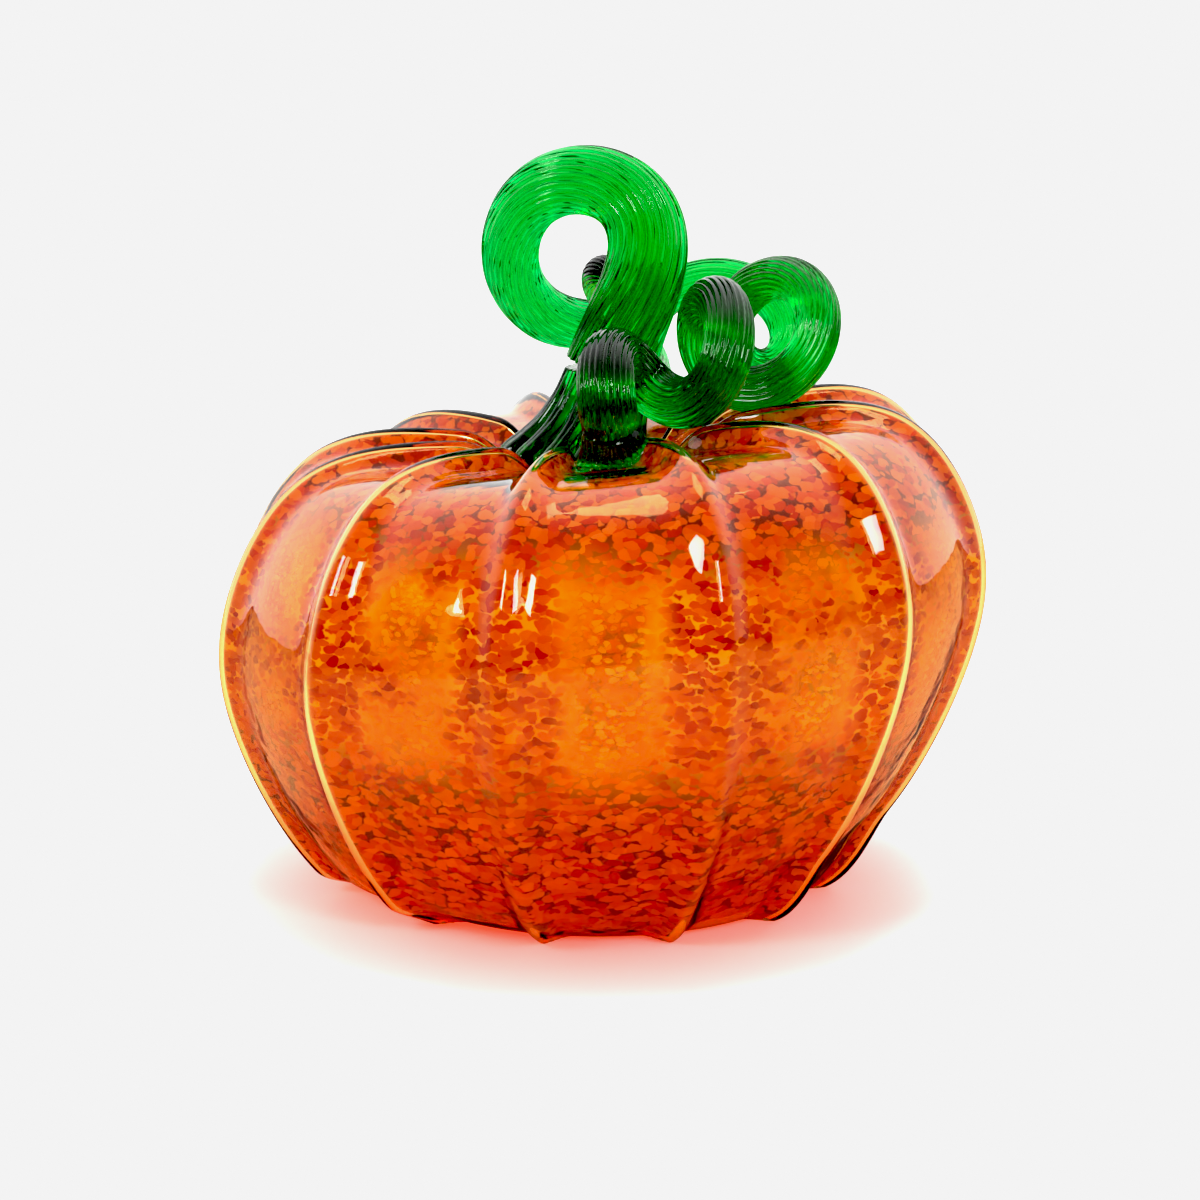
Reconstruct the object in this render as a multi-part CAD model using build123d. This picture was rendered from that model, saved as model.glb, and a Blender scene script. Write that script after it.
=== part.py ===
from build123d import *
from math import cos, hypot, pi, radians, sin
import os

# Hand-blown glass pumpkin: a ribbed hollow bubble of three fused layers, a green stem drawn up into
# a curl, and a green tendril coiled round the stem. Millimetres, +Z up, origin on the ground under
# the middle of the base, front towards -Y.

# ---- blown body ----
RIB_COUNT = 12
RIB_HEIGHT = 3.3            # crest above the flute at the widest point
RIB_KNOB_EXTRA = 2.2        # further height where a rib rolls over into the crown
RIB_SHARPNESS = 9.0         # higher is a narrower rib
RIB_OFFSET_DEG = 1.7        # the ribs stand this far round from an even split about the front
LEAN = 0.1                  # the body rides up towards +X by this slope
LEAN_HEIGHT = 13.0          # height by which the lean has grown in from the flat base
CASING_THICKNESS = 1.2      # outer clear gather, at the widest point
COLOUR_THICKNESS = 0.6      # frit picked up on the inner gather
INNER_THICKNESS = 1.8       # first gather, round the hollow
NECK_RADIUS = 6.0           # hole left in the crown where the blowpipe was cracked off
POLE_RADIUS = 3.0           # smallest ring of a skin, at either pole

# Flute line of the outer skin, (radius, height): the control points of one uniform cubic curve,
# from the middle of the kicked-up base, out round the belly and down into the crown.
FLUTE_LINE = [
    (0, 5), (14, 5), (28, 4.5), (42, -3.2), (57, 3), (73.5, 22.5), (87.7, 56),
    (87.2, 79), (71, 108), (42, 104.2), (27, 103.2), (13, 94.2), (0, 93.2),
]
# The glass is thicker in the base and crown than at the belly: (share of the line, factor).
WALL_FACTORS = [(0.0, 1.6), (0.3, 1.5), (0.5, 1.0), (0.72, 1.0), (1.0, 1.5)]
# How much of the outer rib height each skin repeats, from the outside in.
RIB_SHARES = [1.0, 0.6, 0.55, 0.4]
SKIN_RINGS = 44
RING_POINTS = 12 * RIB_COUNT

# ---- pontil mark in the kick-up ----
PONTIL_RADIUS = 9.0
PONTIL_DROP = 2.2

# ---- stem root: the gather that seals the neck, as (x, y, z, radius) of its rounds ----
ROOT_ROUNDS = [
    (-6.5, 2.0, 91.0, 18.5), (-6.2, 2.0, 102.0, 17.6), (-3.8, 2.2, 106.4, 14.8),
    (-1.8, 2.5, 110.0, 13.0), (0.0, 2.8, 115.2, 11.3),
]
ROOT_FLUTES = 13
ROOT_FLUTE_DEPTH = 1.5
PLUG_END_HEIGHT = 84.5      # the plug bulges a little into the hollow below the neck
PLUG_ROUNDING = 3.5

# ---- stem curl: the drawn-out cane, as (x, y, z, radius) control points of its centre line ----
CURL_POINTS = [
    (2.6, 3.0, 121.0, 10.8), (4.4, 2.4, 127.4, 10.0), (7.6, 1.9, 135.0, 9.5), (10.6, 1.5, 143.0, 9.4),
    (11.6, 1.4, 152.4, 9.3), (6.8, 1.9, 161.6, 8.6), (-4.8, 3.2, 165.4, 7.9), (-17.2, 5.4, 160.4, 7.2),
    (-22.2, 8.2, 147.8, 6.7), (-18.8, 11.6, 135.2, 6.5), (-8.8, 15.4, 128.8, 6.4), (0.6, 18.6, 129.6, 5.4),
]
CURL_SECTIONS = 36

# ---- tendril: a coil whose own axis bends round the stem, one row per half turn, bottom first ----
# (axis x, axis y, axis z, coil radius, facing in degrees from the front, cane radius)
TENDRIL_HALF_TURNS = [
    (4.0, -28.0, 118.2, 9.0, -4.0, 6.6),
    (2.2, -27.0, 118.2, 9.0, 0.0, 6.3),
    (18.6, -21.4, 125.0, 9.0, 16.0, 5.9),
    (26.6, -12.6, 125.8, 12.2, 32.0, 5.7),
    (34.6, -3.4, 127.4, 10.8, 44.0, 5.4),
    (43.0, 6.5, 128.0, 13.4, 58.0, 5.2),
    (38.4, 18.0, 129.4, 11.0, 78.0, 5.0),
    (27.4, 27.0, 127.4, 12.0, 100.0, 4.9),
    (12.4, 33.8, 126.2, 11.2, 146.0, 4.8),
    (1.5, 33.5, 131.5, 8.5, 232.0, 4.6),
    (-3.0, 30.0, 131.5, 8.5, 260.0, 4.4),
]
TENDRIL_START = 0.16        # turns, counted from the bottom of the first turn
TENDRIL_END = 4.58
TENDRIL_SECTIONS = 64
# rounds of the tendril's foot, from just under its start down into the crown
FOOT_ROUNDS = [(3.6, -33.0, 107.6, 7.4), (3.4, -32.0, 104.6, 8.8), (3.4, -31.6, 100.0, 9.2)]


def smooth_step(value, low, high):
    share = min(max((value - low) / (high - low), 0.0), 1.0)
    return share * share * (3 - 2 * share)


def cubic_curve(points, share):
    """Point at a share from 0 to 1 along the clamped uniform cubic B-spline of some points."""
    spans = len(points) - 3
    at = min(max(share, 0.0), 1 - 1e-9) * spans
    knots = [0, 0, 0] + list(range(spans + 1)) + [spans, spans, spans]
    span = int(at) + 3
    held = [list(points[span - 3 + i]) for i in range(4)]
    for level in range(1, 4):
        for i in range(3, level - 1, -1):
            low = knots[span - 3 + i]
            high = knots[span + 1 + i - level]
            blend = (at - low) / (high - low)
            held[i] = [(1 - blend) * a + blend * b for a, b in zip(held[i - 1], held[i])]
    return held[3]


def through(rows, at):
    """Row of numbers at a fractional index along a smooth curve through every given row."""
    at = min(max(at, 0.0), len(rows) - 1)
    i = min(int(at), len(rows) - 2)
    t = at - i
    p1, p2 = rows[i], rows[i + 1]
    p0 = rows[i - 1] if i > 0 else [2 * a - b for a, b in zip(p1, p2)]
    p3 = rows[i + 2] if i + 2 < len(rows) else [2 * b - a for a, b in zip(p1, p2)]
    return [
        b + 0.5 * t * (c - a + t * (2 * a - 5 * b + 4 * c - d + t * (3 * (b - c) + d - a)))
        for a, b, c, d in zip(p0, p1, p2, p3)
    ]


def ramp(table, share):
    """Straight-line reading of a short table of (share, value)."""
    for (low, a), (high, b) in zip(table, table[1:]):
        if share <= high:
            return a + (b - a) * (share - low) / (high - low)
    return table[-1][1]


def flute_point(share):
    """Radius and height on the flute line, with the outward normal there."""
    radius, height = cubic_curve(FLUTE_LINE, share)
    before = cubic_curve(FLUTE_LINE, share - 1e-4)
    after = cubic_curve(FLUTE_LINE, share + 1e-4)
    run, rise = after[0] - before[0], after[1] - before[1]
    length = hypot(run, rise)
    return radius, height, rise / length, -run / length


def rib_height(share, radius):
    """Ribs grow in from the base, swell to knobs round the crown and die in its well."""
    if share < 0.5:
        return RIB_HEIGHT * smooth_step(radius, 30, 62)
    knob = RIB_KNOB_EXTRA * (1 - smooth_step(radius, 40, 75))
    return (RIB_HEIGHT + knob) * smooth_step(radius, 16, 34)


def skin_point(share, angle, depth, rib_share):
    """Point of a skin that lies `depth` belly-thicknesses inside the outer one."""
    radius, height, out_r, out_z = flute_point(share)
    wave = (1 - cos(RIB_COUNT * (angle - radians(RIB_OFFSET_DEG)))) / 2
    lift = rib_share * rib_height(share, radius) * wave ** RIB_SHARPNESS
    lift -= depth * ramp(WALL_FACTORS, share)
    reach = radius + out_r * lift
    x, y, z = reach * sin(angle), -reach * cos(angle), height + out_z * lift
    return Vector(x, y, z + LEAN * smooth_step(z, 0, LEAN_HEIGHT) * x)


def pole_share(low, high, depth):
    """Share of the flute line, between low and high, where a skin has its smallest ring."""
    rising = low < 0.5
    for _ in range(40):
        middle = (low + high) / 2
        radius, _, out_r, _ = flute_point(middle)
        inside = radius - out_r * depth * ramp(WALL_FACTORS, middle) < POLE_RADIUS
        if inside == rising:
            low = middle
        else:
            high = middle
    return (low + high) / 2


def skin_solid(depth, rib_share):
    """Solid that fills everything inside one skin of the body."""
    first, last = pole_share(0.0, 0.15, depth), pole_share(0.9, 1.0, depth)
    knots = [i / RING_POINTS for i in range(RING_POINTS + 1)]
    angles = [2 * pi * knot for knot in knots[:-1]]
    rings = []
    for ring in range(SKIN_RINGS):
        share = first + (last - first) * ring / (SKIN_RINGS - 1)
        points = [skin_point(share, angle, depth, rib_share) for angle in angles]
        rings.append(Wire([Edge.make_spline(points, periodic=True, parameters=knots)]))
    return Solid.make_loft(rings)


def cane_section(curve, share):
    """Round of a cane, square to its centre line; curve(share) gives (x, y, z, radius)."""
    x, y, z, radius = curve(share)
    ahead, behind = curve(share + 1e-4), curve(share - 1e-4)
    tangent = Vector(*ahead[:3]) - Vector(*behind[:3])
    return Wire([Edge.make_circle(radius, Plane(origin=(x, y, z), z_dir=tangent))])


def cane(curve, sections):
    """Round cane: short lofts, two sections long, fused end to end."""
    rounds = [cane_section(curve, i / sections) for i in range(sections + 1)]
    lengths = [Solid.make_loft(rounds[i:i + 3]) for i in range(0, sections, 2)]
    return lengths[0].fuse(*lengths[1:])


def tendril_row(turn):
    """Centre-line point and cane radius of the tendril at a count of turns."""
    x, y, z, coil, facing, radius = through(TENDRIL_HALF_TURNS, 2 * turn)
    out_x, out_y = sin(radians(facing)), -cos(radians(facing))
    out = coil * sin(2 * pi * turn)
    return x + out * out_x, y + out * out_y, z - coil * cos(2 * pi * turn), radius


def make_body():
    depths = [0.0, CASING_THICKNESS, CASING_THICKNESS + COLOUR_THICKNESS]
    depths.append(depths[-1] + INNER_THICKNESS)
    skins = [skin_solid(depth, share) for depth, share in zip(depths, RIB_SHARES)]
    neck = Pos(0, 0, 100) * Cylinder(NECK_RADIUS, 60)
    ground = Pos(0, 0, -20) * Box(400, 400, 40)
    layers = {
        "clear_casing": skins[0] - skins[1] - neck - ground,
        "frit_colour_layer": skins[1] - skins[2] - neck,
        "clear_inner_wall": skins[2] - skins[3] - neck,
    }
    return layers, skins[0]


def make_pontil_mark(outer_skin):
    height = FLUTE_LINE[0][1]
    button = Pos(0, 0, height - PONTIL_DROP + 2) * Cylinder(PONTIL_RADIUS, 4)
    rim = button.edges().sort_by(Axis.Z)[0]
    return fillet(rim, PONTIL_DROP - 0.6) - outer_skin


def curl_curve(share):
    return cubic_curve(CURL_POINTS, share)


def tendril_curve(share):
    return tendril_row(TENDRIL_START + (TENDRIL_END - TENDRIL_START) * share)


def make_stem_root(outer_skin):
    """Fluted skirt spread over the crown, with a rounded plug that fills the neck below it."""
    wires = []
    for level, (x, y, z, radius) in enumerate(ROOT_ROUNDS):
        fade = 1 - level / len(ROOT_ROUNDS)
        points = []
        for i in range(8 * ROOT_FLUTES):
            angle = 2 * pi * i / (8 * ROOT_FLUTES)
            reach = radius + fade * ROOT_FLUTE_DEPTH * cos(ROOT_FLUTES * angle)
            points.append(Vector(x + reach * cos(angle), y + reach * sin(angle), z))
        wires.append(Wire([Edge.make_spline(points, periodic=True)]))
    wires.append(cane_section(curl_curve, 0.0))
    skirt = Solid.make_loft(wires) - outer_skin
    plug_height = FLUTE_LINE[-1][1] + 2 - PLUG_END_HEIGHT
    plug = Pos(0, 0, PLUG_END_HEIGHT + plug_height / 2) * Cylinder(NECK_RADIUS, plug_height)
    plug = fillet(plug.edges().sort_by(Axis.Z)[0], PLUG_ROUNDING)
    return skirt + plug


def make_tendril_root(outer_skin):
    """Foot that spreads from the tendril's start down on to the crown."""
    wires = [cane_section(tendril_curve, 0.0)]
    for x, y, z, radius in FOOT_ROUNDS:
        wires.append(Wire([Edge.make_circle(radius, Plane(origin=(x, y, z), z_dir=(0, 0, -1)))]))
    foot = Solid.make_loft(wires) - outer_skin
    # A rib's flank parts a sliver from the foot, so only the largest piece is kept.
    return max(foot.solids(), key=lambda piece: piece.volume)


def main():
    os.makedirs("parts", exist_ok=True)
    layers, outer_skin = make_body()
    parts = dict(layers)
    parts["pontil_mark"] = make_pontil_mark(outer_skin)
    parts["stem_root"] = make_stem_root(outer_skin)
    parts["stem_curl"] = cane(curl_curve, CURL_SECTIONS)
    parts["tendril_root"] = make_tendril_root(outer_skin)
    parts["tendril"] = cane(tendril_curve, TENDRIL_SECTIONS)
    for name, shape in parts.items():
        export_step(shape, f"parts/{name}.step")


main()
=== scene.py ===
import bpy
import bmesh
from math import cos, radians, sin, tau
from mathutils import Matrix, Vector
from mathutils.bvhtree import BVHTree


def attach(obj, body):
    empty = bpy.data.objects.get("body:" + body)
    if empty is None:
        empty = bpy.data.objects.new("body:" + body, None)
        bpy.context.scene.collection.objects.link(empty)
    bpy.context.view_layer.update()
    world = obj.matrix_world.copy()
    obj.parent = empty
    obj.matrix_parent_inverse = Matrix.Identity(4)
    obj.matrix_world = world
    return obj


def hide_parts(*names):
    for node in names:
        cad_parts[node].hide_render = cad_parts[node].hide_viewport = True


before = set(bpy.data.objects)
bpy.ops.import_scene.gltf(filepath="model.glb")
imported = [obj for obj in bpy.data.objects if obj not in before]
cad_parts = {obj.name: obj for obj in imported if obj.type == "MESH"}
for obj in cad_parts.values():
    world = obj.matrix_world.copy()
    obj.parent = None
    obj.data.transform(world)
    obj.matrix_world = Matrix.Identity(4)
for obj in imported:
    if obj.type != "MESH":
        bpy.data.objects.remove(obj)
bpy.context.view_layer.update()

# ---------------------------------------------------------------------------------------------
# Clear casing: the outer gather, clear glass with a faint amber tint, blown into a twelve-rib mould
# with the rest of the bubble and fire-polished. It is the outer wall of the body, and stands on its
# flattened base ring. Lengths are in metres where no comment says millimetres.
# ---------------------------------------------------------------------------------------------
RIB_COUNT = 12
RIB_HEIGHT = 0.0033
RIB_KNOB_EXTRA = 0.0022     # added to the ribs where they swell round the crown
RIB_SHARPNESS = 9.0         # power that narrows a rib's wave
RIB_TURN = radians(1.7)
LEAN = 0.1                  # rise of the body for each metre to the right
LEAN_HEIGHT = 0.013         # height at which the lean is full
UPPER_BODY = (0.052, 0.068)         # heights where the lower ribs give way to the upper ones
LOW_RIB_START = (0.030, 0.062)      # radii over which the ribs grow in from the base
KNOB_RADII = (0.040, 0.075)
CROWN_RIB_START = (0.016, 0.034)    # radii over which the ribs grow in from the crown's well
BASE_THICKENING = 0.6
CROWN_THICKNESS = 1.5
WELD_DISTANCE = 0.000002
CASING_INNER_DEPTH = 0.00088
CASING_INNER_RIBS = 0.95    # height of the inside's ribs, as a share of the outer ribs
# Flute line of the body, (radius, height) in millimetres, from the middle of the base to the neck.
FLUTE_LINE = [
    (0, 5), (14, 5), (28, 4.5), (42, -3.2), (57, 3), (73.5, 22.5), (87.7, 56),
    (87.2, 79), (71, 108), (42, 104.2), (27, 103.2), (13, 94.2), (6.05, 93.6),
]
STEPS_AROUND = RIB_COUNT * 48
STEPS_ALONG = 170


def calc(tree, operation, *values):
    """A Math node on sockets or plain numbers."""
    step = tree.nodes.new("ShaderNodeMath")
    step.operation = operation
    for socket, value in zip(step.inputs, values):
        if isinstance(value, (int, float)):
            socket.default_value = value
        else:
            tree.links.new(value, socket)
    return step.outputs[0]


def smooth(tree, value, low, high, start=0.0, end=1.0):
    """A Map Range node that eases from start to end as value goes from low to high."""
    step = tree.nodes.new("ShaderNodeMapRange")
    step.interpolation_type = "SMOOTHSTEP"
    for name, setting in zip(("From Min", "From Max", "To Min", "To Max"), (low, high, start, end)):
        if isinstance(setting, (int, float)):
            step.inputs[name].default_value = setting
        else:
            tree.links.new(setting, step.inputs[name])
    tree.links.new(value, step.inputs["Value"])
    return step.outputs["Result"]


def new_tree(name, inputs):
    """A geometry node tree with a Geometry input and output, and named inputs with defaults."""
    tree = bpy.data.node_groups.new(name, "GeometryNodeTree")
    tree.interface.new_socket("Geometry", in_out="OUTPUT", socket_type="NodeSocketGeometry")
    tree.interface.new_socket("Geometry", in_out="INPUT", socket_type="NodeSocketGeometry")
    for label, kind, default in inputs:
        socket = tree.interface.new_socket(label, in_out="INPUT", socket_type=kind)
        if default is not None:
            socket.default_value = default
    return tree, tree.nodes.new("NodeGroupInput"), tree.nodes.new("NodeGroupOutput")


def finish_tree(tree, given, put, geometry):
    """Ends a tree in Realize Instances and Set Material."""
    real = tree.nodes.new("GeometryNodeRealizeInstances")
    tree.links.new(geometry, real.inputs[0])
    paint = tree.nodes.new("GeometryNodeSetMaterial")
    tree.links.new(real.outputs[0], paint.inputs["Geometry"])
    tree.links.new(given.outputs["Material"], paint.inputs["Material"])
    tree.links.new(paint.outputs[0], put.inputs[0])


def skin_tree():
    """Blown wall between two depths of the ribbed body: out over the skin, back along the inside."""
    tree, given, put = new_tree("blown wall", [
        ("Outer Depth", "NodeSocketFloat", 0.0), ("Inner Depth", "NodeSocketFloat", 0.001),
        ("Outer Ribs", "NodeSocketFloat", 1.0), ("Inner Ribs", "NodeSocketFloat", 0.6),
        ("Rib Count", "NodeSocketFloat", RIB_COUNT), ("Rib Height", "NodeSocketFloat", RIB_HEIGHT),
        ("Knob Extra", "NodeSocketFloat", RIB_KNOB_EXTRA),
        ("Rib Sharpness", "NodeSocketFloat", RIB_SHARPNESS), ("Rib Turn", "NodeSocketFloat", RIB_TURN),
        ("Lean", "NodeSocketFloat", LEAN), ("Lean Height", "NodeSocketFloat", LEAN_HEIGHT),
        ("Material", "NodeSocketMaterial", None),
    ])
    link = tree.links.new
    grid = tree.nodes.new("GeometryNodeMeshGrid")
    grid.inputs["Vertices X"].default_value = STEPS_AROUND + 1
    grid.inputs["Vertices Y"].default_value = 2 * STEPS_ALONG
    place = tree.nodes.new("GeometryNodeInputPosition")
    split = tree.nodes.new("ShaderNodeSeparateXYZ")
    link(place.outputs[0], split.inputs[0])
    around = calc(tree, "MULTIPLY", calc(tree, "ADD", split.outputs["X"], 0.5), tau)
    along = calc(tree, "ADD", split.outputs["Y"], 0.5)
    inside = calc(tree, "GREATER_THAN", along, 0.5)
    fold = calc(tree, "MINIMUM", along, calc(tree, "SUBTRACT", 1.0, along))
    share = calc(tree, "MULTIPLY", fold, (2 * STEPS_ALONG - 1) / (STEPS_ALONG - 1))
    profile = tree.nodes.new("GeometryNodeSampleCurve")
    profile.mode = "FACTOR"
    profile.use_all_curves = True
    link(given.outputs["Geometry"], profile.inputs["Curves"])
    link(share, profile.inputs["Factor"])
    at = tree.nodes.new("ShaderNodeSeparateXYZ")
    link(profile.outputs["Position"], at.inputs[0])
    run = tree.nodes.new("ShaderNodeSeparateXYZ")
    link(profile.outputs["Tangent"], run.inputs[0])
    radius, height = at.outputs["X"], at.outputs["Z"]

    def choose(outer, inner):
        step = tree.nodes.new("ShaderNodeMix")
        link(inside, step.inputs[0])
        link(given.outputs[outer], step.inputs[2])
        link(given.outputs[inner], step.inputs[3])
        return step.outputs[0]

    # Ribs grow in from the base, swell to knobs round the crown and die in its well.
    upper = smooth(tree, height, *UPPER_BODY)
    low_rib = smooth(tree, radius, *LOW_RIB_START)
    knob = smooth(tree, radius, *KNOB_RADII, given.outputs["Knob Extra"], 0.0)
    crown_rib = smooth(tree, radius, *CROWN_RIB_START)
    tall = calc(tree, "ADD", given.outputs["Rib Height"], knob)
    low = calc(tree, "MULTIPLY", given.outputs["Rib Height"], low_rib)
    high = calc(tree, "MULTIPLY", tall, crown_rib)
    rib = calc(tree, "ADD", low, calc(tree, "MULTIPLY", upper, calc(tree, "SUBTRACT", high, low)))
    turned = calc(tree, "SUBTRACT", around, given.outputs["Rib Turn"])
    phase = calc(tree, "MULTIPLY", turned, given.outputs["Rib Count"])
    wave = calc(tree, "MULTIPLY", calc(tree, "SUBTRACT", 1.0, calc(tree, "COSINE", phase)), 0.5)
    crest = calc(tree, "POWER", wave, given.outputs["Rib Sharpness"])
    rib_share = choose("Outer Ribs", "Inner Ribs")
    lift = calc(tree, "MULTIPLY", calc(tree, "MULTIPLY", rib, crest), rib_share)
    # The glass is thicker in the base and in the crown than at the belly.
    thick_base = smooth(tree, share, 0.12, 0.5, BASE_THICKENING, 0.0)
    thick_crown = smooth(tree, share, 0.7, 1.0, 1.0, CROWN_THICKNESS)
    thickness = calc(tree, "ADD", thick_base, thick_crown)
    wall = calc(tree, "MULTIPLY", choose("Outer Depth", "Inner Depth"), thickness)
    off = calc(tree, "SUBTRACT", lift, wall)
    reach = calc(tree, "ADD", radius, calc(tree, "MULTIPLY", run.outputs["Z"], off))
    rise = calc(tree, "SUBTRACT", height, calc(tree, "MULTIPLY", run.outputs["X"], off))
    out_x = calc(tree, "MULTIPLY", reach, calc(tree, "SINE", around))
    out_y = calc(tree, "MULTIPLY", calc(tree, "MULTIPLY", reach, calc(tree, "COSINE", around)), -1.0)
    ease = smooth(tree, rise, 0.0, given.outputs["Lean Height"], 0.0, given.outputs["Lean"])
    out_z = calc(tree, "MAXIMUM", calc(tree, "ADD", rise, calc(tree, "MULTIPLY", ease, out_x)), 0.0)
    spot = tree.nodes.new("ShaderNodeCombineXYZ")
    for socket, value in zip(spot.inputs, (out_x, out_y, out_z)):
        link(value, socket)
    moved = tree.nodes.new("GeometryNodeSetPosition")
    link(grid.outputs["Mesh"], moved.inputs["Geometry"])
    link(spot.outputs[0], moved.inputs["Position"])
    closed = tree.nodes.new("GeometryNodeMergeByDistance")
    closed.inputs["Distance"].default_value = WELD_DISTANCE
    link(moved.outputs[0], closed.inputs["Geometry"])
    finish_tree(tree, given, put, closed.outputs[0])
    return tree


def line_curve(name, points):
    """A curve object of one clamped cubic spline, drawn from control points in metres."""
    data = bpy.data.curves.new(name, "CURVE")
    data.dimensions = "3D"
    data.resolution_u = 24
    spline = data.splines.new("NURBS")
    spline.points.add(len(points) - 1)
    for held, point in zip(spline.points, points):
        held.co = (point[0], point[1], point[2], 1.0)
        held.radius = point[3] if len(point) > 3 else 1.0
    spline.order_u = 4    # cubic
    spline.use_endpoint_u = True
    item = bpy.data.objects.new(name, data)
    bpy.context.collection.objects.link(item)
    return item


def grown(name, source, tree, settings):
    """Runs a tree on a source object and keeps the result as a plain, closed, smooth mesh piece."""
    step = source.modifiers.new("grow", "NODES")
    step.node_group = tree
    for socket in tree.interface.items_tree:
        if socket.in_out == "INPUT" and socket.name in settings:
            step[socket.identifier] = settings[socket.name]
    seen = source.evaluated_get(bpy.context.evaluated_depsgraph_get())
    mesh = bpy.data.meshes.new_from_object(seen)
    source.modifiers.remove(step)
    bpy.data.objects.remove(source)
    return solid_piece(name, mesh)


def solid_piece(name, mesh):
    """An object at the origin from a mesh whose faces are turned outwards and shaded smooth."""
    shape = bmesh.new()
    shape.from_mesh(mesh)
    bmesh.ops.recalc_face_normals(shape, faces=shape.faces)
    shape.to_mesh(mesh)
    shape.free()
    mesh.shade_smooth()
    mesh.name = name
    item = bpy.data.objects.new(name, mesh)
    bpy.context.collection.objects.link(item)
    return item


def set_inputs(shader, settings):
    """Sets a node's inputs by name."""
    for name, value in settings.items():
        shader.inputs[name].default_value = value


def new_material(name):
    """An empty node material; gives it with its tree and its output node."""
    material = bpy.data.materials.new(name)
    material.use_nodes = True
    tree = material.node_tree
    tree.nodes.clear()
    return material, tree, tree.nodes.new("ShaderNodeOutputMaterial")


def lets_light_by(tree, shader, tint):
    """Mixes in a tinted Transparent shader for rays on their way to a lamp."""
    path = tree.nodes.new("ShaderNodeLightPath")
    clear = tree.nodes.new("ShaderNodeBsdfTransparent")
    clear.inputs["Color"].default_value = tint
    mix = tree.nodes.new("ShaderNodeMixShader")
    tree.links.new(path.outputs["Is Shadow Ray"], mix.inputs[0])
    tree.links.new(shader, mix.inputs[1])
    tree.links.new(clear.outputs[0], mix.inputs[2])
    return mix.outputs[0]


def waviness_group():
    """Slow unevenness of a hand-blown surface, as a height."""
    tree = bpy.data.node_groups.new("hand-blown waviness", "ShaderNodeTree")
    for label, default in (("Swell Size", 0.03), ("Ripple Size", 0.006), ("Ripple Share", 0.15)):
        socket = tree.interface.new_socket(label, in_out="INPUT", socket_type="NodeSocketFloat")
        socket.default_value = default
    tree.interface.new_socket("Height", in_out="OUTPUT", socket_type="NodeSocketFloat")
    given, put = tree.nodes.new("NodeGroupInput"), tree.nodes.new("NodeGroupOutput")
    place = tree.nodes.new("ShaderNodeTexCoord")
    heights = []
    for label in ("Swell Size", "Ripple Size"):
        cloud = tree.nodes.new("ShaderNodeTexNoise")
        cloud.inputs["Detail"].default_value = 1.0
        tree.links.new(place.outputs["Object"], cloud.inputs["Vector"])
        tree.links.new(calc(tree, "DIVIDE", 1.0, given.outputs[label]), cloud.inputs["Scale"])
        heights.append(cloud.outputs[0])
    ripple = calc(tree, "MULTIPLY", heights[1], given.outputs["Ripple Share"])
    tree.links.new(calc(tree, "ADD", heights[0], ripple), put.inputs["Height"])
    return tree


waviness = waviness_group()


def wavy_normal(tree, distance, **sizes):
    """Bump node over the shared waviness."""
    source = tree.nodes.new("ShaderNodeGroup")
    source.node_tree = waviness
    for label, value in sizes.items():
        source.inputs[label.replace("_", " ").title()].default_value = value
    bump = tree.nodes.new("ShaderNodeBump")
    bump.inputs["Distance"].default_value = distance
    tree.links.new(source.outputs["Height"], bump.inputs["Height"])
    return bump.outputs["Normal"]


def clear_glass(name, tint, roughness, wave, depth_tint=None, density=0.0):
    """Clear glass with a wavy surface, which can also darken with thickness."""
    material, tree, out = new_material(name)
    glass = tree.nodes.new("ShaderNodeBsdfPrincipled")
    set_inputs(glass, {
        "Base Color": tint, "Roughness": roughness, "IOR": 1.5, "Transmission Weight": 1.0,
        "Specular IOR Level": 0.3,
    })
    tree.links.new(wavy_normal(tree, wave), glass.inputs["Normal"])
    tree.links.new(lets_light_by(tree, glass.outputs[0], tint), out.inputs["Surface"])
    if depth_tint:
        depth = tree.nodes.new("ShaderNodeVolumeAbsorption")
        set_inputs(depth, {"Color": depth_tint, "Density": density})
        tree.links.new(depth.outputs[0], out.inputs["Volume"])
    return material


def body_wall(name, node, material, outer, inner, outer_ribs, inner_ribs):
    """One wall of the body between two depths below the skin, set in its node's place."""
    profile = line_curve("flute line", [(r / 1000, 0.0, z / 1000) for r, z in FLUTE_LINE])
    piece = grown(name, profile, blown_wall, {
        "Outer Depth": outer, "Inner Depth": inner, "Outer Ribs": outer_ribs,
        "Inner Ribs": inner_ribs, "Material": material,
    })
    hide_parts(node)
    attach(piece, "root")
    return piece


blown_wall = skin_tree()
casing = body_wall(
    "casing_wall", "clear_casing",
    clear_glass("clear casing glass", (1.0, 0.9, 0.8, 1), 0.0, 0.0005, (0.92, 0.6, 0.0, 1), 700.0),
    0.0, CASING_INNER_DEPTH, 1.0, CASING_INNER_RIBS,
)

# ---------------------------------------------------------------------------------------------
# Frit colour layer: coarse opaque and transparent orange chips, picked up hot on the first gather
# and melted in. The chips spread apart where the bubble is blown widest, so that amber light comes
# through between the ribs, and lie close in the base and round the crown, where the gaps between
# them are painted near-black as painted shade.
# ---------------------------------------------------------------------------------------------
FRIT_OUTER_DEPTH = 0.00091
FRIT_INNER_DEPTH = 0.0018
FRIT_OUTER_RIBS = 0.945
FRIT_INNER_RIBS = 0.9
CHIP_SIZE = 0.0026


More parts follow.
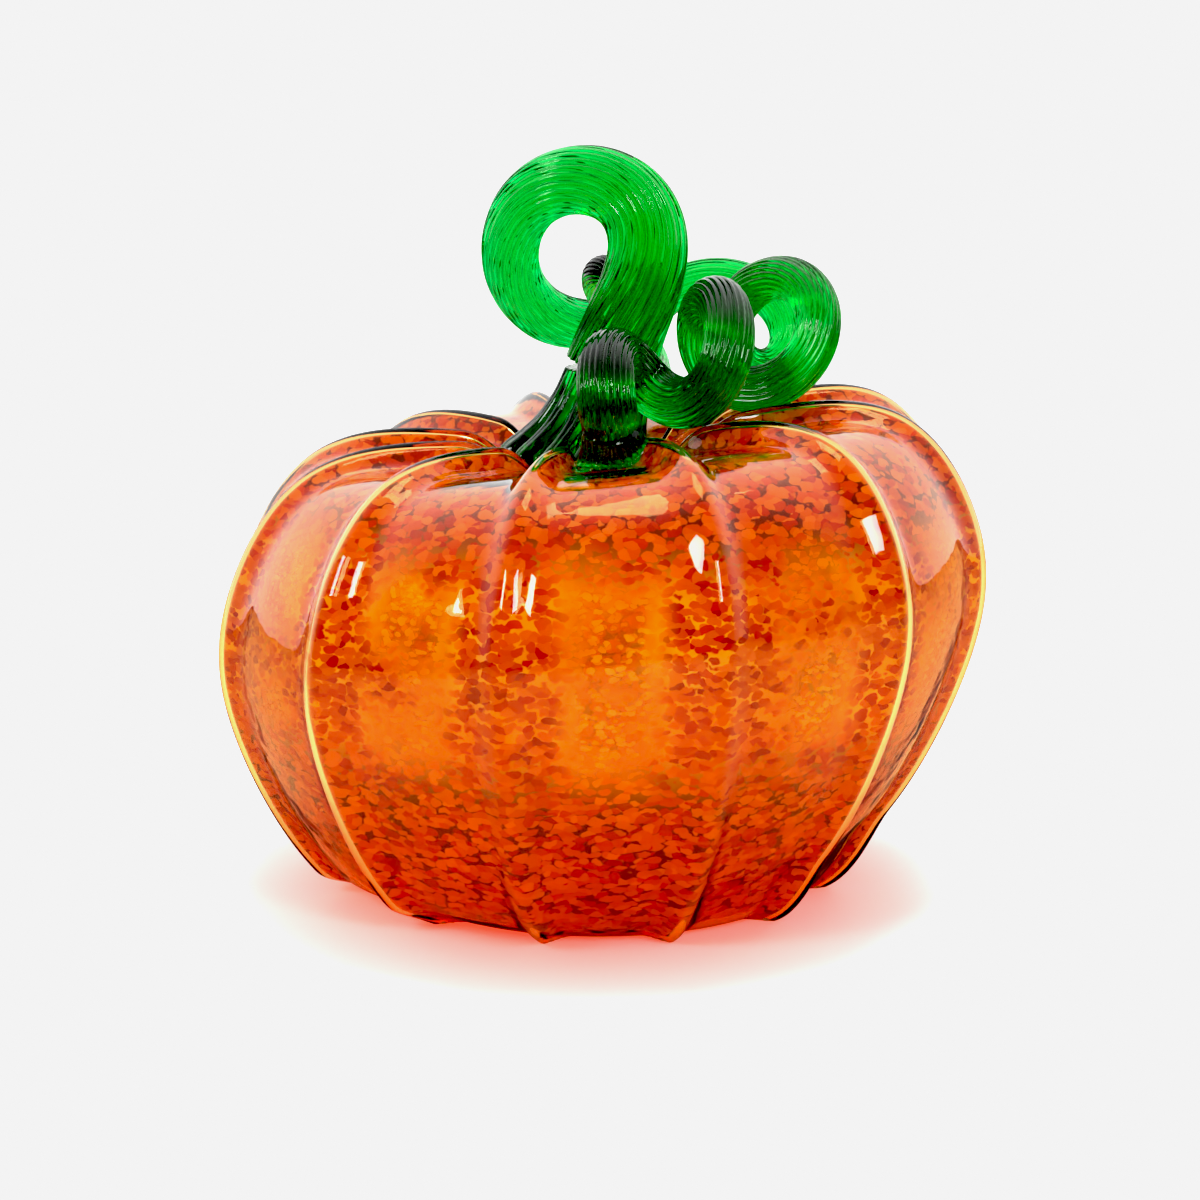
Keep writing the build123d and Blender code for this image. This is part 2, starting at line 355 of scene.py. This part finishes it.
def frit_group():
    """Chips, the gaps between them, and how thin the layer has been blown, over the body."""
    tree = bpy.data.node_groups.new("melted frit", "ShaderNodeTree")
    for label, kind, default in (
        ("Chip Size", "NodeSocketFloat", CHIP_SIZE), ("Flatness", "NodeSocketFloat", 1.7),
        ("Drift", "NodeSocketFloat", 0.003),
    ):
        tree.interface.new_socket(label, in_out="INPUT", socket_type=kind).default_value = default
    for label in ("Pick", "Gap", "Belt", "Thin", "Cloud"):
        tree.interface.new_socket(label, in_out="OUTPUT", socket_type="NodeSocketFloat")
    given, put = tree.nodes.new("NodeGroupInput"), tree.nodes.new("NodeGroupOutput")
    link = tree.links.new
    place = tree.nodes.new("ShaderNodeTexCoord").outputs["Object"]
    stir = tree.nodes.new("ShaderNodeTexNoise")
    set_inputs(stir, {"Scale": 300.0, "Detail": 2.0})
    link(place, stir.inputs["Vector"])
    centred = tree.nodes.new("ShaderNodeVectorMath")
    centred.operation = "SUBTRACT"
    link(stir.outputs["Color"], centred.inputs[0])
    centred.inputs[1].default_value = (0.5, 0.5, 0.5)
    drift = tree.nodes.new("ShaderNodeVectorMath")
    drift.operation = "SCALE"
    link(centred.outputs[0], drift.inputs[0])
    link(given.outputs["Drift"], drift.inputs["Scale"])
    moved = tree.nodes.new("ShaderNodeVectorMath")
    moved.operation = "ADD"
    link(place, moved.inputs[0])
    link(drift.outputs[0], moved.inputs[1])
    squash = tree.nodes.new("ShaderNodeCombineXYZ")
    set_inputs(squash, {"X": 1.0, "Y": 1.0})
    link(given.outputs["Flatness"], squash.inputs["Z"])
    flat = tree.nodes.new("ShaderNodeVectorMath")
    flat.operation = "MULTIPLY"
    link(moved.outputs[0], flat.inputs[0])
    link(squash.outputs[0], flat.inputs[1])
    density = calc(tree, "DIVIDE", 1.0, given.outputs["Chip Size"])
    cells = tree.nodes.new("ShaderNodeTexVoronoi")
    link(flat.outputs[0], cells.inputs["Vector"])
    link(density, cells.inputs["Scale"])
    pick = tree.nodes.new("ShaderNodeSeparateColor")
    link(cells.outputs["Color"], pick.inputs[0])
    link(pick.outputs[0], put.inputs["Pick"])
    cloud = tree.nodes.new("ShaderNodeTexNoise")
    set_inputs(cloud, {"Scale": 42.0, "Detail": 3.0, "Roughness": 0.6})
    link(place, cloud.inputs["Vector"])
    link(cloud.outputs[0], put.inputs["Cloud"])
    # Thin between the ribs and in a band round the belly.
    spot = tree.nodes.new("ShaderNodeSeparateXYZ")
    link(place, spot.inputs[0])
    minus_y = calc(tree, "MULTIPLY", spot.outputs["Y"], -1.0)
    around = calc(tree, "ARCTAN2", spot.outputs["X"], minus_y)
    phase = calc(tree, "MULTIPLY", calc(tree, "SUBTRACT", around, RIB_TURN), RIB_COUNT)
    between = smooth(tree, calc(tree, "COSINE", phase), -0.6, 0.9)
    rising = smooth(tree, spot.outputs["Z"], 0.036, 0.056)
    falling = smooth(tree, spot.outputs["Z"], 0.082, 0.098, 1.0, 0.0)
    band = calc(tree, "MULTIPLY", rising, falling)
    link(band, put.inputs["Belt"])
    patchy = smooth(tree, cloud.outputs[0], 0.36, 0.56)
    spread = calc(tree, "MULTIPLY", calc(tree, "MULTIPLY", band, between), patchy)
    link(spread, put.inputs["Thin"])
    # Chips are ragged blobs that shrink where the layer is thin; the rest is gap.
    reach = calc(tree, "SUBTRACT", 0.76, calc(tree, "MULTIPLY", spread, 0.3))
    start = calc(tree, "SUBTRACT", reach, 0.12)
    link(smooth(tree, cells.outputs["Distance"], start, reach), put.inputs["Gap"])
    return tree


def ramp_of(tree, value, stops):
    """A colour ramp over a value, from (position, colour) stops."""
    step = tree.nodes.new("ShaderNodeValToRGB")
    step.color_ramp.interpolation = "LINEAR"
    while len(step.color_ramp.elements) < len(stops):
        step.color_ramp.elements.new(0.5)
    for element, (position, colour) in zip(step.color_ramp.elements, stops):
        element.position = position
        element.color = (*colour, 1.0)
    tree.links.new(value, step.inputs[0])
    return step.outputs[0]


def mix_colours(tree, share, first, second):
    """A colour that goes from first to second as share goes from 0 to 1."""
    step = tree.nodes.new("ShaderNodeMix")
    step.data_type = "RGBA"
    tree.links.new(share, step.inputs[0])
    for socket, value in zip((step.inputs[6], step.inputs[7]), (first, second)):
        if isinstance(value, tuple):
            socket.default_value = (*value, 1.0)
        else:
            tree.links.new(value, socket)
    return step.outputs[2]


def frit_glass():
    """Orange chips that glow when lit from behind, amber glass in the belly's gaps, painted shade in the
    others.
    """
    material, tree, out = new_material("melted orange frit")
    link = tree.links.new
    frit = tree.nodes.new("ShaderNodeGroup")
    frit.node_tree = frit_group()
    pick, gap = frit.outputs["Pick"], frit.outputs["Gap"]
    belt_free_of_painted_shade, thin, cloud = frit.outputs["Belt"], frit.outputs["Thin"], frit.outputs["Cloud"]
    chip = ramp_of(tree, pick, [
        (0.0, (0.38, 0.014, 0.001)), (0.22, (0.56, 0.060, 0.001)), (0.5, (0.64, 0.19, 0.005)),
        (0.8, (0.70, 0.27, 0.012)), (1.0, (0.76, 0.36, 0.04)),
    ])
    amber = ramp_of(tree, cloud, [(0.35, (0.82, 0.5, 0.01)), (0.65, (0.98, 0.95, 0.12))])
    # Outside the belt the gaps take a near-black red: painted shade for the dark seen through them at the
    # base and round the crown.
    gap_colour_with_painted_shade = mix_colours(tree, belt_free_of_painted_shade, (0.17, 0.018, 0.001), amber)
    bright = mix_colours(tree, calc(tree, "MULTIPLY", thin, 0.9), chip, amber)
    colour = mix_colours(tree, gap, bright, gap_colour_with_painted_shade)
    glass = tree.nodes.new("ShaderNodeBsdfPrincipled")
    set_inputs(glass, {"Roughness": 0.3, "IOR": 1.5, "Specular IOR Level": 0.2})
    link(colour, glass.inputs["Base Color"])
    glow = tree.nodes.new("ShaderNodeBsdfTranslucent")
    link(colour, glow.inputs["Color"])
    half = tree.nodes.new("ShaderNodeMixShader")
    half.inputs[0].default_value = 0.55
    link(glass.outputs[0], half.inputs[1])
    link(glow.outputs[0], half.inputs[2])
    window = tree.nodes.new("ShaderNodeBsdfTransparent")
    link(amber, window.inputs["Color"])
    gap_share = calc(tree, "ADD", 0.25, calc(tree, "MULTIPLY", gap, 0.6))
    open_share = calc(tree, "MULTIPLY", thin, gap_share)
    see = tree.nodes.new("ShaderNodeMixShader")
    link(open_share, see.inputs[0])
    link(half.outputs[0], see.inputs[1])
    link(window.outputs[0], see.inputs[2])
    link(lets_light_by(tree, see.outputs[0], (0.95, 0.62, 0.12, 1)), out.inputs["Surface"])
    return material


body_wall(
    "frit_layer", "frit_colour_layer", frit_glass(),
    FRIT_OUTER_DEPTH, FRIT_INNER_DEPTH, FRIT_OUTER_RIBS, FRIT_INNER_RIBS,
)

# ---------------------------------------------------------------------------------------------
# Clear inner wall: the first gather, blown out from the pipe, that holds the frit and lines the
# hollow. The ribs show on its inside at half their height.
# ---------------------------------------------------------------------------------------------
INNER_OUTER_DEPTH = 0.00183
INNER_INNER_DEPTH = 0.0036
INNER_OUTER_RIBS = 0.895
INNER_INNER_RIBS = 0.5

body_wall(
    "inner_wall", "clear_inner_wall",
    clear_glass("clear inner glass", (1.0, 0.96, 0.9, 1), 0.0, 0.0003),
    INNER_OUTER_DEPTH, INNER_INNER_DEPTH, INNER_OUTER_RIBS, INNER_INNER_RIBS,
)

# ---------------------------------------------------------------------------------------------
# Pontil mark: the button of clear glass left in the kick-up where the iron was cracked off.
# ---------------------------------------------------------------------------------------------
cad_pontil = bpy.data.objects["pontil_mark"]
pontil_glass = clear_glass("pontil glass", (0.95, 0.93, 0.9, 1), 0.08, 0.0008)
cad_pontil.data.materials.clear()
cad_pontil.data.materials.append(pontil_glass)

# ---------------------------------------------------------------------------------------------
# Stem curl: a cane of transparent emerald glass, reeded in an optic mould, drawn up hot from the
# root and rolled over in a ring that tucks in behind itself.
# ---------------------------------------------------------------------------------------------
REED_COUNT = 26
REED_DEPTH = 0.11           # share of the cane's radius
SEGMENTS_PER_REED = 8
TIP_SQUEEZE = 0.998         # how nearly the free end closes
# Control points of the centre line, with the cane's radius, in millimetres.
CURL_POINTS = [
    (2.6, 3.0, 121.0, 10.8), (4.4, 2.4, 127.4, 10.0), (7.6, 1.9, 135.0, 9.5), (10.6, 1.5, 143.0, 9.4),
    (11.6, 1.4, 152.4, 9.3), (6.8, 1.9, 161.6, 8.6), (-4.8, 3.2, 165.4, 7.9), (-17.2, 5.4, 160.4, 7.2),
    (-22.2, 8.2, 147.8, 6.7), (-18.8, 11.6, 135.2, 6.5), (-8.8, 15.4, 128.8, 6.4), (0.6, 18.6, 129.6, 5.4),
]


def reeded_tree():
    """A reeded cane along a curve, its radius read from the curve, with a slow twist."""
    tree, given, put = new_tree("reeded cane", [
        ("Reed Count", "NodeSocketInt", REED_COUNT), ("Reed Depth", "NodeSocketFloat", REED_DEPTH),
        ("Twist", "NodeSocketFloat", 1.0), ("Steps", "NodeSocketInt", 400),
        ("Tip", "NodeSocketFloat", 0.005),
        ("Material", "NodeSocketMaterial", None),
    ])
    link = tree.links.new
    fine = tree.nodes.new("GeometryNodeResampleCurve")
    link(given.outputs["Geometry"], fine.inputs["Curve"])
    link(given.outputs["Steps"], fine.inputs["Count"])
    share = tree.nodes.new("GeometryNodeSplineParameter")
    tilt = tree.nodes.new("GeometryNodeSetCurveTilt")
    link(fine.outputs[0], tilt.inputs["Curve"])
    link(calc(tree, "MULTIPLY", share.outputs["Factor"], given.outputs["Twist"]), tilt.inputs["Tilt"])
    ring = tree.nodes.new("GeometryNodeCurvePrimitiveCircle")
    segments = calc(tree, "MULTIPLY", given.outputs["Reed Count"], SEGMENTS_PER_REED)
    link(segments, ring.inputs["Resolution"])
    ring.inputs["Radius"].default_value = 1.0
    place = tree.nodes.new("GeometryNodeInputPosition")
    split = tree.nodes.new("ShaderNodeSeparateXYZ")
    link(place.outputs[0], split.inputs[0])
    angle = calc(tree, "ARCTAN2", split.outputs["Y"], split.outputs["X"])
    half_reeds = calc(tree, "MULTIPLY", given.outputs["Reed Count"], 0.5)
    reed = calc(tree, "ABSOLUTE", calc(tree, "SINE", calc(tree, "MULTIPLY", angle, half_reeds)))
    # Reeds differ in depth round the cane, as a pulled one's do.
    swing = calc(tree, "SINE", calc(tree, "MULTIPLY", angle, 7.0))
    uneven = calc(tree, "ADD", 0.7, calc(tree, "MULTIPLY", 0.3, swing))
    depth = calc(tree, "MULTIPLY", uneven, given.outputs["Reed Depth"])
    dip = calc(tree, "MULTIPLY", calc(tree, "SUBTRACT", 1.0, reed), depth)
    scale = tree.nodes.new("ShaderNodeVectorMath")
    scale.operation = "SCALE"
    link(place.outputs[0], scale.inputs[0])
    link(calc(tree, "SUBTRACT", 1.0, dip), scale.inputs["Scale"])
    section = tree.nodes.new("GeometryNodeSetPosition")
    link(ring.outputs[0], section.inputs["Geometry"])
    link(scale.outputs[0], section.inputs["Position"])
    sweep = tree.nodes.new("GeometryNodeCurveToMesh")
    link(tilt.outputs[0], sweep.inputs["Curve"])
    link(section.outputs[0], sweep.inputs["Profile Curve"])
    sweep.inputs["Fill Caps"].default_value = True
    # The free end is drawn in to a round tip.
    width = tree.nodes.new("GeometryNodeInputRadius")
    spline = tree.nodes.new("GeometryNodeSplineLength")
    left = calc(tree, "SUBTRACT", spline.outputs["Length"], share.outputs["Length"])
    still_full = calc(tree, "MINIMUM", calc(tree, "DIVIDE", left, given.outputs["Tip"]), 1.0)
    lag = calc(tree, "SUBTRACT", 1.0, still_full)
    fall = calc(tree, "MULTIPLY", calc(tree, "MULTIPLY", lag, lag), TIP_SQUEEZE)
    dome = calc(tree, "SQRT", calc(tree, "SUBTRACT", 1.0, fall))
    link(calc(tree, "MULTIPLY", width.outputs[0], dome), sweep.inputs["Scale"])
    finish_tree(tree, given, put, sweep.outputs[0])
    return tree


def green_glass(name, tint, density, deep):
    """Transparent green glass that darkens with thickness."""
    material, tree, out = new_material(name)
    glass = tree.nodes.new("ShaderNodeBsdfPrincipled")
    set_inputs(glass, {
        "Base Color": tint, "Roughness": 0.02, "IOR": 1.5, "Transmission Weight": 1.0,
    })
    tree.links.new(wavy_normal(tree, 0.0002, swell_size=0.008, ripple_size=0.002), glass.inputs["Normal"])
    depth = tree.nodes.new("ShaderNodeVolumeAbsorption")
    set_inputs(depth, {"Color": deep, "Density": density})
    tree.links.new(lets_light_by(tree, glass.outputs[0], (0.35, 0.9, 0.45, 1)), out.inputs["Surface"])
    tree.links.new(depth.outputs[0], out.inputs["Volume"])
    return material


reeded_cane = reeded_tree()
stem_glass = green_glass("emerald stem glass", (0.2, 0.9, 0.5, 1), 400.0, (0.05, 0.84, 0.5, 1))
curl_path = line_curve("curl path", [tuple(value / 1000 for value in point) for point in CURL_POINTS])
curl = grown("stem_curl_cane", curl_path, reeded_cane, {
    "Reed Count": REED_COUNT, "Reed Depth": REED_DEPTH, "Twist": 1.6, "Steps": 320, "Material": stem_glass,
})
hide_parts("stem_curl")
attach(curl, "root")

# ---------------------------------------------------------------------------------------------
# Stem root: the hot green gather dropped on the neck to seal it. Its reeds run out over the crown
# like fingers, and a rounded plug of it hangs in the hollow below the neck.
# ---------------------------------------------------------------------------------------------
ROOT_FINGERS = 13
ROOT_RINGS = 60
ROOT_STEPS = 13 * 32
# (x, y, z, radius) in millimetres, then share of finger depth, from the curl down to the crown.
ROOT_SHAPE = [
    (2.6, 3.0, 121.0, 10.8, 0.0), (0.2, 2.8, 115.2, 11.3, 0.3), (-1.8, 2.5, 110.0, 13.0, 0.6),
    (-3.8, 2.2, 106.4, 14.8, 0.9), (-6.2, 2.0, 102.0, 17.6, 1.0), (-6.4, 2.0, 96.0, 18.2, 1.0),
]
FINGER_DEPTH = 0.0015
CROWN_GAP = 0.00003         # air left between green glass and the crown
NECK_RADIUS = 0.0058
PLUG_TOP = 0.094
# (radius, height) in millimetres of the rings round the plug, downwards.
PLUG_SHAPE = [(5.8, 90.0), (5.8, 87.5), (5.2, 85.8), (3.4, 84.7)]


def eased(rows, at):
    """Row of numbers at a fractional index along a smooth curve through every given row."""
    i = min(int(at), len(rows) - 2)
    t = at - i
    p1, p2 = rows[i], rows[i + 1]
    p0 = rows[i - 1] if i > 0 else [2 * a - b for a, b in zip(p1, p2)]
    p3 = rows[i + 2] if i + 2 < len(rows) else [2 * b - a for a, b in zip(p1, p2)]
    return [
        b + 0.5 * t * (c - a + t * (2 * a - 5 * b + 4 * c - d + t * (3 * (b - c) + d - a)))
        for a, b, c, d in zip(p0, p1, p2, p3)
    ]


def ringed_mesh(name, rings):
    """A closed mesh from rings of points, capped by a point at each end."""
    count = len(rings[0])
    points = [point for ring in rings for point in ring]
    faces = []
    for r in range(len(rings) - 1):
        for i in range(count):
            a, b = r * count + i, r * count + (i + 1) % count
            faces.append((a, b, b + count, a + count))
    for ring, start in ((rings[0], 0), (rings[-1], (len(rings) - 1) * count)):
        points.append(sum((Vector(point) for point in ring), Vector()) / count)
        faces += [(start + i, start + (i + 1) % count, len(points) - 1) for i in range(count)]
    mesh = bpy.data.meshes.new(name)
    mesh.from_pydata([tuple(point) for point in points], [], faces)
    return mesh


def crown_height(x, y):
    """Height of the casing's skin at a point, or just under the neck where there is none."""
    hit = crown.ray_cast(Vector((x, y, 0.2)), Vector((0, 0, -1)))
    return hit[0].z if hit[0] else 0.09


crown = BVHTree.FromObject(casing, bpy.context.evaluated_depsgraph_get())


def root_rings():
    """Rings of the stem root, down the fingers, in under them and down round the plug."""
    rings = []
    for level in range(ROOT_RINGS + 1):
        x, y, z, radius, share = eased(ROOT_SHAPE, (len(ROOT_SHAPE) - 1) * level / ROOT_RINGS)
        ring = []
        for i in range(ROOT_STEPS):
            angle = tau * i / ROOT_STEPS
            reed = abs(sin(REED_COUNT * angle / 2)) * REED_DEPTH * radius / 1000 * (1 - 0.6 * share)
            finger = share * FINGER_DEPTH * cos(ROOT_FINGERS * angle)
            reach = radius / 1000 + finger + reed - REED_DEPTH * radius / 1000
            px, py = x / 1000 + reach * cos(angle), y / 1000 + reach * sin(angle)
            floor = crown_height(px, py) + CROWN_GAP
            ring.append((px, py, max(z / 1000, floor)))
        rings.append(ring)
    # The underside follows the crown in to the neck, and the plug hangs below it.
    x, y = ROOT_SHAPE[-1][0] / 1000, ROOT_SHAPE[-1][1] / 1000
    for inward in (0.75, 0.5, 0.25, 0.0):
        ring = []
        for i, (px, py, _) in enumerate(rings[ROOT_RINGS]):
            angle = tau * i / ROOT_STEPS
            nx, ny = NECK_RADIUS * cos(angle), NECK_RADIUS * sin(angle)
            qx, qy = nx + (px - nx) * inward, ny + (py - ny) * inward
            ring.append((qx, qy, crown_height(qx, qy) + CROWN_GAP if inward else PLUG_TOP))
        rings.append(ring)
    for radius, height in PLUG_SHAPE:
        ring = []
        for i in range(ROOT_STEPS):
            angle = tau * i / ROOT_STEPS
            ring.append((radius / 1000 * cos(angle), radius / 1000 * sin(angle), height / 1000))
        rings.append(ring)
    return rings


root = solid_piece("stem_root_skirt", ringed_mesh("stem_root_skirt", root_rings()))
root.data.materials.append(stem_glass)
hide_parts("stem_root")
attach(root, "root")

# ---------------------------------------------------------------------------------------------
# Tendril: a thinner reeded cane of the same green, set down on the crown and wound in a loose coil
# that bends round the stem. The cane thins all the way to its free end.
# ---------------------------------------------------------------------------------------------
# One row per half turn, bottom first, in millimetres: axis x, y, z, coil radius, facing in degrees,
# cane radius.
TENDRIL_HALF_TURNS = [
    (4.0, -28.0, 118.2, 9.0, -4.0, 6.6), (2.2, -27.0, 118.2, 9.0, 0.0, 6.3),
    (18.6, -21.4, 125.0, 9.0, 16.0, 5.9), (26.6, -12.6, 125.8, 12.2, 32.0, 5.7),
    (34.6, -3.4, 127.4, 10.8, 44.0, 5.4), (43.0, 6.5, 128.0, 13.4, 58.0, 5.2),
    (38.4, 18.0, 129.4, 11.0, 78.0, 5.0), (27.4, 27.0, 127.4, 12.0, 100.0, 4.9),
    (12.4, 33.8, 126.2, 11.2, 146.0, 4.8), (1.5, 33.5, 131.5, 8.5, 232.0, 4.6),
    (-3.0, 30.0, 131.5, 8.5, 260.0, 4.4),
]
TENDRIL_START = 0.16        # in turns
TENDRIL_END = 4.58
TENDRIL_POINTS = 110
TENDRIL_REEDS = 24


def tendril_point(turn):
    """Centre line of the tendril at a number of turns, with the cane's radius."""
    x, y, z, coil, facing, radius = eased(TENDRIL_HALF_TURNS, 2 * turn)
    out = coil * sin(tau * turn)
    px = x + out * sin(radians(facing))
    py = y - out * cos(radians(facing))
    return px / 1000, py / 1000, (z - coil * cos(tau * turn)) / 1000, radius / 1000


tendril_glass = green_glass("emerald tendril glass", (0.2, 0.9, 0.45, 1), 460.0, (0.04, 0.82, 0.42, 1))
tendril_path = line_curve("tendril path", [
    tendril_point(TENDRIL_START + (TENDRIL_END - TENDRIL_START) * i / TENDRIL_POINTS)
    for i in range(TENDRIL_POINTS + 1)
])
tendril = grown("tendril_cane", tendril_path, reeded_cane, {
    "Reed Count": TENDRIL_REEDS, "Reed Depth": REED_DEPTH, "Twist": 2.5, "Steps": 460,
    "Material": tendril_glass,
})
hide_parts("tendril")
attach(tendril, "root")

# ---------------------------------------------------------------------------------------------
# Tendril root: the foot of hot glass that the tendril is drawn from, pressed on to the crown in
# front of the stem.
# ---------------------------------------------------------------------------------------------
# (x, y, z, radius) in millimetres, downwards.
FOOT_SHAPE = [(3.8, -33.0, 107.6, 7.4), (3.6, -32.0, 104.6, 8.8), (3.6, -31.6, 100.0, 9.2)]
FOOT_LEVELS = 24
FOOT_BLEND_LEVELS = 8       # levels over which the cane's end face turns into the foot


def foot_rings():
    """Rings of the foot, from the tendril's lower end face down to the crown."""
    start = tendril_point(TENDRIL_START)
    after = tendril_point(TENDRIL_START + 0.01)
    along = (Vector(after[:3]) - Vector(start[:3])).normalized()
    across = Vector((1, 0, 0))
    up = across.cross(along).normalized()
    steps = SEGMENTS_PER_REED * TENDRIL_REEDS
    top = [
        Vector(start[:3]) + start[3] * (across * cos(tau * i / steps) - up * sin(tau * i / steps))
        for i in range(steps)
    ]
    rings = [top]
    for k in range(1, FOOT_LEVELS + 1):
        x, y, z, radius = eased(FOOT_SHAPE, (len(FOOT_SHAPE) - 1) * k / FOOT_LEVELS)
        ring = []
        for i in range(steps):
            angle = tau * i / steps
            reach = radius / 1000 * (1 - REED_DEPTH * (1 - abs(sin(TENDRIL_REEDS * angle / 2))))
            px, py = x / 1000 + reach * cos(angle), y / 1000 + reach * sin(angle)
            blend = min(k / FOOT_BLEND_LEVELS, 1.0)
            at = Vector((px, py, z / 1000)) * blend + top[i] * (1 - blend)
            at.z = max(at.z, crown_height(at.x, at.y) + CROWN_GAP)
            ring.append(at)
        rings.append(ring)
    return rings


foot = solid_piece("tendril_foot", ringed_mesh("tendril_foot", foot_rings()))
foot.data.materials.append(tendril_glass)
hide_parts("tendril_root")
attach(foot, "root")

# ---------------------------------------------------------------------------------------------
# The floor, the light and the camera: white paper in a room that is dark in front and bright behind,
# with two window-shaped lights in front that put the bright panes on the glass.
# ---------------------------------------------------------------------------------------------
FLOOR_HALF_WIDTH = 3
PAPER_COLOUR = (0.95, 0.935, 0.935)
REFLECTED_PAPER_COLOUR = (0.12, 0.11, 0.11)    # what the glass mirrors, darker than the paper itself
ROOM_SEEN = 1.2             # strength of the background behind the object
LIGHT_AIM = (0, 0, 0.07)

floor_mesh = bpy.data.meshes.new("floor")
floor_corners = [
    (side_x * FLOOR_HALF_WIDTH, side_y * FLOOR_HALF_WIDTH, 0)
    for side_x, side_y in ((-1, -1), (1, -1), (1, 1), (-1, 1))
]
floor_mesh.from_pydata(floor_corners, [], [(0, 1, 2, 3)])
floor = bpy.data.objects.new("floor", floor_mesh)
bpy.context.collection.objects.link(floor)
paper, paper_tree, paper_out = new_material("white paper")
sheet = paper_tree.nodes.new("ShaderNodeBsdfPrincipled")
set_inputs(sheet, {"Roughness": 0.8, "Specular IOR Level": 0.0})
path = paper_tree.nodes.new("ShaderNodeLightPath")
mirrored = calc(
    paper_tree, "SUBTRACT", path.outputs["Is Reflection Ray"], path.outputs["Is Diffuse Ray"])
paper_colour = mix_colours(paper_tree, mirrored, PAPER_COLOUR, REFLECTED_PAPER_COLOUR)
paper_tree.links.new(paper_colour, sheet.inputs["Base Color"])
paper_glow = mix_colours(paper_tree, mirrored, (1.0, 1.0, 1.0), (0.0, 0.0, 0.0))
paper_tree.links.new(paper_glow, sheet.inputs["Emission Color"])
# The paper gives off a little light, less of it close to the object.
spot = paper_tree.nodes.new("ShaderNodeVectorMath")
spot.operation = "LENGTH"
paper_place = paper_tree.nodes.new("ShaderNodeTexCoord")
paper_tree.links.new(paper_place.outputs["Object"], spot.inputs[0])
open_floor = smooth(paper_tree, spot.outputs["Value"], 0.055, 0.14, 0.05, 0.6)
paper_tree.links.new(open_floor, sheet.inputs["Emission Strength"])
paper_tree.links.new(sheet.outputs[0], paper_out.inputs["Surface"])
floor_mesh.materials.append(paper)

world = bpy.data.worlds.new("bright room")
bpy.context.scene.world = world
world.use_nodes = True
sky = world.node_tree
facing = sky.nodes.new("ShaderNodeSeparateXYZ")
sky.links.new(sky.nodes.new("ShaderNodeTexCoord").outputs["Generated"], facing.inputs[0])
behind = smooth(sky, facing.outputs["Y"], -0.5, 0.7, 0.08, 1.6)
above = smooth(sky, facing.outputs["Z"], 0.3, 1.0, 0.0, 0.3)
seen = sky.nodes.new("ShaderNodeLightPath").outputs["Is Camera Ray"]
room = calc(sky, "ADD", behind, above)
backdrop = calc(sky, "MULTIPLY", seen, ROOM_SEEN)
lighting = calc(sky, "MULTIPLY", calc(sky, "SUBTRACT", 1.0, seen), room)
level = calc(sky, "ADD", backdrop, lighting)
sky.nodes["Background"].inputs["Color"].default_value = (1.0, 1.0, 1.0, 1)
sky.links.new(level, sky.nodes["Background"].inputs["Strength"])


def window(name, place, width, height, power):
    """A rectangular light that faces the object."""
    light = bpy.data.lights.new(name, "AREA")
    light.shape = "RECTANGLE"
    light.size = width
    light.size_y = height
    light.energy = power
    item = bpy.data.objects.new(name, light)
    item.location = place
    aim = Vector(LIGHT_AIM) - Vector(place)
    item.rotation_euler = aim.to_track_quat("-Z", "Y").to_euler()
    bpy.context.collection.objects.link(item)
    return item


window("left window", (-0.9, -0.9, 0.9), 0.3, 0.4, 6)
window("right window", (0.55, -1.1, 0.8), 0.25, 0.4, 5)
ceiling = window("ceiling panel", (0.1, 0.15, 1.5), 0.6, 0.6, 14)
ceiling.visible_glossy = False

CAMERA_ELEVATION = radians(12.1)
CAMERA_DISTANCE = 0.65
CAMERA_LENS = 83            # millimetres
AIM = Vector((0, 0, 0.0664))
eye = bpy.data.cameras.new("camera")
eye.lens = CAMERA_LENS
eye.sensor_width = 36
camera = bpy.data.objects.new("camera", eye)
away = Vector((0, -cos(CAMERA_ELEVATION), sin(CAMERA_ELEVATION)))
camera.location = AIM + CAMERA_DISTANCE * away
camera.rotation_euler = (-away).to_track_quat("-Z", "Y").to_euler()
bpy.context.collection.objects.link(camera)
bpy.context.scene.camera = camera

# The levels deepen the darks a little. Everything from WHITE_FROM up comes out as WHITE_TO, so paper
# and background are one flat pale tone.
BLACK_POINT = 0.025
WHITE_FROM, WHITE_TO = 0.86, 0.896
scene = bpy.context.scene
scene.view_settings.view_transform = "Standard"
scene.view_settings.use_curve_mapping = True
levels = scene.view_settings.curve_mapping
levels.black_level = (BLACK_POINT, BLACK_POINT, BLACK_POINT)
levels.extend = "HORIZONTAL"
levels.curves[3].points[1].location = (WHITE_FROM, WHITE_TO)
for end in levels.curves[3].points:
    end.handle_type = "VECTOR"
levels.update()
scene.cycles.max_bounces = 24
scene.cycles.transmission_bounces = 24
scene.cycles.transparent_max_bounces = 32
